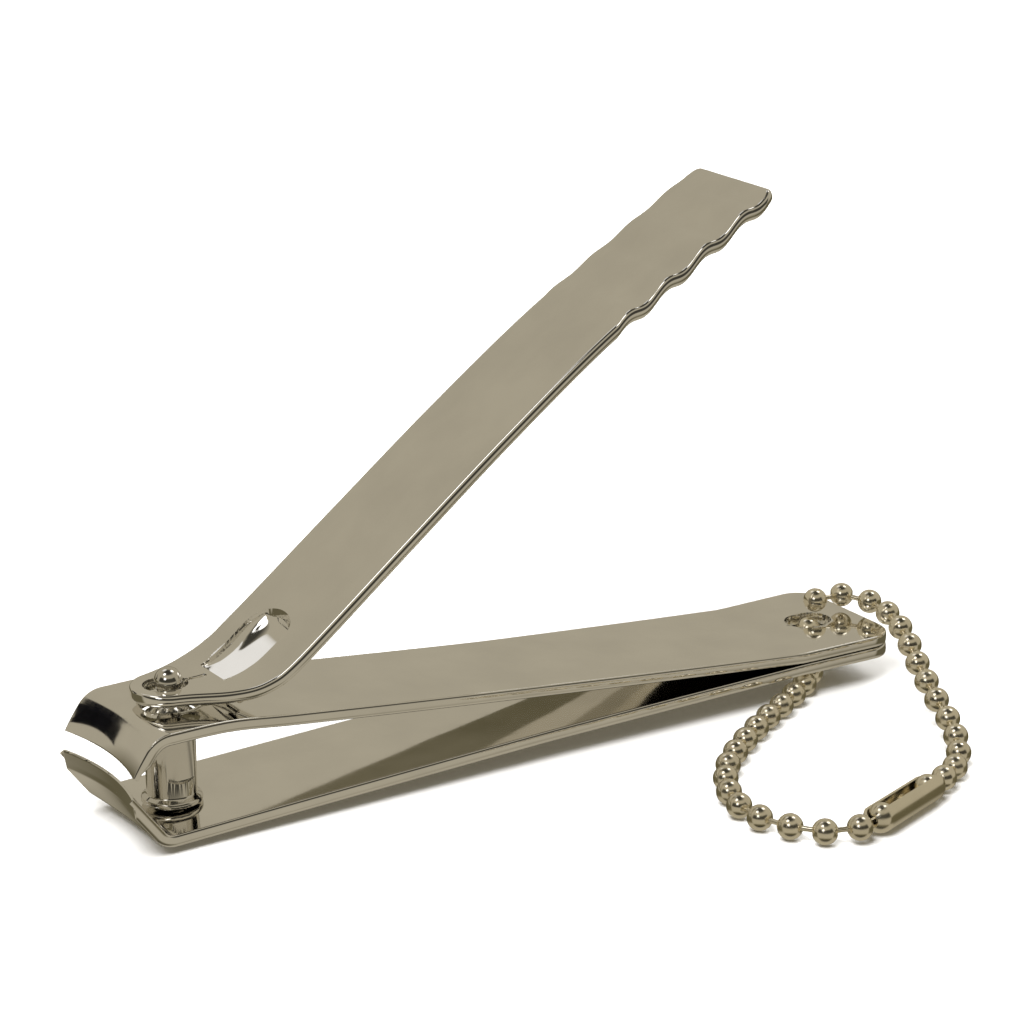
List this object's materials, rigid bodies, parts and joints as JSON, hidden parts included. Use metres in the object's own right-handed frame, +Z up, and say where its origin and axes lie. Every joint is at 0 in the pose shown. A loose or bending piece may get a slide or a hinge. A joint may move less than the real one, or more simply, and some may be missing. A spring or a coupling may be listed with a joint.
{
  "type": "nail clipper",
  "caption": "Lever nail clipper: two sprung steel plates with curved cutting jaws, a turning pin, a raised lever with grip waves, and a ball chain through the tail hole.",
  "frame": {"origin": "centre of the pin's flat foot, on the surface that the clipper stands on", "axes": "+X from the jaws towards the tail, +Y across the plates, +Z up along the pin"},
  "size_m": [0.0867, 0.0465, 0.052],
  "materials": {
    "chrome_plate": "bright chrome plate on spring steel, smooth, with ground cutting bevels",
    "pin_steel": "bright plated turned steel",
    "nickel": "nickel-plated ball chain, slightly warm"
  },
  "bodies": {
    "lower_jaw": {"lower_plate": "chrome_plate", "chain_bead_01": "nickel", "chain_bead_02": "nickel", "chain_bead_03": "nickel", "chain_bead_04": "nickel", "chain_bead_05": "nickel", "chain_bead_06": "nickel", "chain_bead_07": "nickel", "chain_bead_08": "nickel", "chain_bead_09": "nickel", "chain_bead_10": "nickel", "chain_bead_11": "nickel", "chain_bead_12": "nickel", "chain_bead_13": "nickel", "chain_bead_14": "nickel", "chain_bead_15": "nickel", "chain_bead_16": "nickel", "chain_bead_17": "nickel", "chain_bead_18": "nickel", "chain_bead_19": "nickel", "chain_bead_20": "nickel", "chain_bead_21": "nickel", "chain_bead_22": "nickel", "chain_bead_23": "nickel", "chain_bead_24": "nickel", "chain_bead_25": "nickel", "chain_bead_26": "nickel", "chain_bead_27": "nickel", "chain_bead_28": "nickel", "chain_bead_29": "nickel", "chain_bead_30": "nickel", "chain_bead_31": "nickel", "chain_bead_32": "nickel", "chain_bead_33": "nickel", "chain_bead_34": "nickel", "chain_connector": "nickel"},
    "upper_jaw": {"upper_plate": "chrome_plate"},
    "pin": {"pin": "pin_steel"},
    "lever": {"lever": "chrome_plate"}
  },
  "joints": [
    {"name": "pin_turn", "type": "hinge", "parent": "lower_jaw", "child": "pin", "pos_m": [0, 0, 0], "axis": [0, 0, 1], "continuous": true},
    {"name": "lever_press", "type": "hinge", "parent": "pin", "child": "lever", "pos_m": [0, 0, 0.0127], "axis": [0, 1, 0], "range_deg": [0, 17.45], "stiffness_Nm_per_rad": 0.2, "springref_deg": -6.88},
    {"name": "jaw_close", "type": "hinge", "parent": "lower_jaw", "child": "upper_jaw", "pos_m": [0.0661, 0, 0.00373], "axis": [0, -1, 0], "range_deg": [0, 1.2], "stiffness_Nm_per_rad": 6, "springref_deg": -0.23}
  ],
  "couplings": [
    {"joint": "jaw_close", "follows": "lever_press", "ratio": 0.06875}
  ]
}
